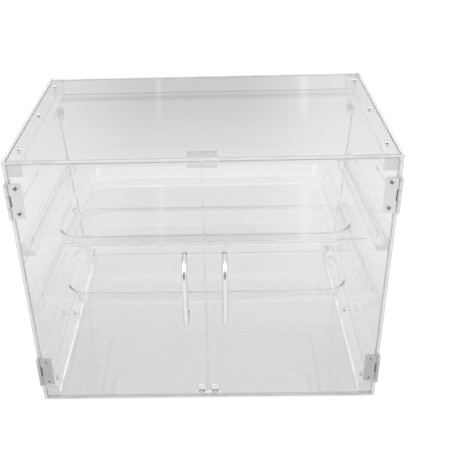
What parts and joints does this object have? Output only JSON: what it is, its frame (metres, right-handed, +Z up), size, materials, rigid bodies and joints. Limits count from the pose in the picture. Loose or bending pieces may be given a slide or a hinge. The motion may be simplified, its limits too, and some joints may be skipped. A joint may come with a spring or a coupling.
{
  "type": "bakery display case",
  "caption": "Countertop bakery display case of clear sheet with hinged doors on one side, a leaning customer side, and lift-out trays on sloping runners.",
  "frame": {"origin": "on the surface the feet stand on, under the middle of the whole outline (handles included)", "axes": "+Z up, +Y from the doors to the leaning customer side, +X to the right as seen from the doors"},
  "size_m": [0.5396, 0.4799, 0.4317],
  "materials": {
    "clear_sheet": "polished clear sheet",
    "clear_bar": "polished clear bar",
    "clear_tray": "clear vacuum-formed sheet",
    "hinge_steel": "bright brushed steel",
    "handle_chrome": "satin chrome",
    "screw_steel": "bright steel",
    "magnet_nickel": "nickel plate",
    "foot_clear": "clear soft bumper"
  },
  "bodies": {
    "case": {"bottom_bar_left": "clear_bar", "bottom_bar_right": "clear_bar", "catch_block": "clear_bar", "catch_magnet_left": "magnet_nickel", "catch_magnet_right": "magnet_nickel", "customer_panel": "clear_sheet", "door_stop": "clear_bar", "fixing_block_left": "clear_bar", "fixing_block_right": "clear_bar", "floor_panel": "clear_sheet", "floor_screw_front_left": "screw_steel", "floor_screw_front_right": "screw_steel", "floor_screw_middle_left": "screw_steel", "floor_screw_middle_right": "screw_steel", "floor_screw_rear_left": "screw_steel", "floor_screw_rear_right": "screw_steel", "foot_front_left": "foot_clear", "foot_front_right": "foot_clear", "foot_rear_left": "foot_clear", "foot_rear_right": "foot_clear", "lower_hinge_frame_leaf_left": "hinge_steel", "lower_hinge_frame_leaf_right": "hinge_steel", "lower_hinge_pin_left": "screw_steel", "lower_hinge_pin_right": "screw_steel", "lower_runner_left": "clear_bar", "lower_runner_right": "clear_bar", "side_panel_left": "clear_sheet", "side_panel_right": "clear_sheet", "top_bar_left": "clear_bar", "top_bar_right": "clear_bar", "top_panel": "clear_sheet", "top_screw_front_left": "screw_steel", "top_screw_front_right": "screw_steel", "top_screw_middle_left": "screw_steel", "top_screw_middle_right": "screw_steel", "top_screw_rear_left": "screw_steel", "top_screw_rear_right": "screw_steel", "upper_hinge_frame_leaf_left": "hinge_steel", "upper_hinge_frame_leaf_right": "hinge_steel", "upper_hinge_pin_left": "screw_steel", "upper_hinge_pin_right": "screw_steel", "upper_runner_left": "clear_bar", "upper_runner_right": "clear_bar"},
    "left_door": {"door_left": "clear_sheet", "handle_left": "handle_chrome", "lower_handle_screw_left": "screw_steel", "lower_hinge_door_leaf_left": "hinge_steel", "strike_left": "screw_steel", "upper_handle_screw_left": "screw_steel", "upper_hinge_door_leaf_left": "hinge_steel"},
    "right_door": {"door_right": "clear_sheet", "handle_right": "handle_chrome", "lower_handle_screw_right": "screw_steel", "lower_hinge_door_leaf_right": "hinge_steel", "strike_right": "screw_steel", "upper_handle_screw_right": "screw_steel", "upper_hinge_door_leaf_right": "hinge_steel"},
    "upper_tray_body": {"upper_tray": "clear_tray"},
    "lower_tray_body": {"lower_tray": "clear_tray"}
  },
  "joints": [
    {"name": "left_door_hinge", "type": "hinge", "parent": "case", "child": "left_door", "pos_m": [-0.266, -0.2028, 0.217], "axis": [0, 0, -1], "range_deg": [0, 240]},
    {"name": "right_door_hinge", "type": "hinge", "parent": "case", "child": "right_door", "pos_m": [0.266, -0.2028, 0.217], "axis": [0, 0, 1], "range_deg": [0, 240]},
    {"name": "upper_tray_slide", "type": "slide", "parent": "case", "child": "upper_tray_body", "axis": [0, -0.9962, 0.0872], "range_m": [0, 0.01]},
    {"name": "lower_tray_slide", "type": "slide", "parent": "case", "child": "lower_tray_body", "axis": [0, -0.9962, 0.0872], "range_m": [-0.025, 0.01]}
  ]
}
